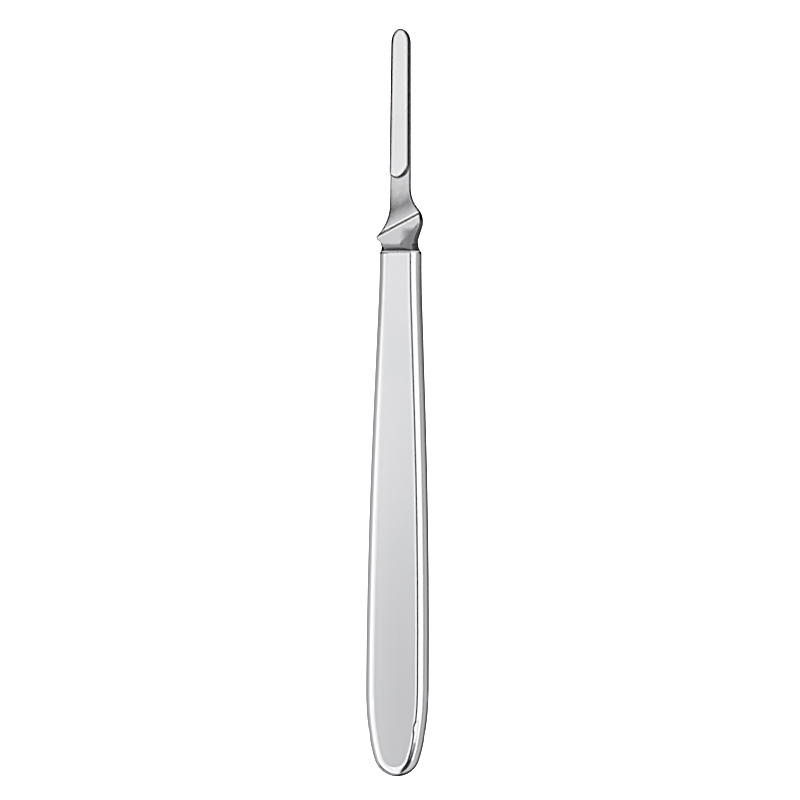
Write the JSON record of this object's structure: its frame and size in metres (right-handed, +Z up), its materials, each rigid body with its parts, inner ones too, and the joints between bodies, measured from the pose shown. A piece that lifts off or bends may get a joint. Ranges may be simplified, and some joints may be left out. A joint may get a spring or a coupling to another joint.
{
  "type": "scalpel handle",
  "caption": "Flat scalpel handle with a long slim grip, round sides and a grooved key fitting that takes a detachable blade.",
  "frame": {"origin": "middle of the handle's footprint, on the surface that its back face lies on", "axes": "+Y along the handle towards the blade end, +Z up out of the front face that carries the key, X across"},
  "size_m": [0.0142, 0.165, 0.0048],
  "materials": {
    "stainless_steel": "polished smooth on the grip and the key, satin on the neck and the blade seat"
  },
  "bodies": {
    "root": {"scalpel_handle": "stainless_steel"}
  },
  "joints": []
}
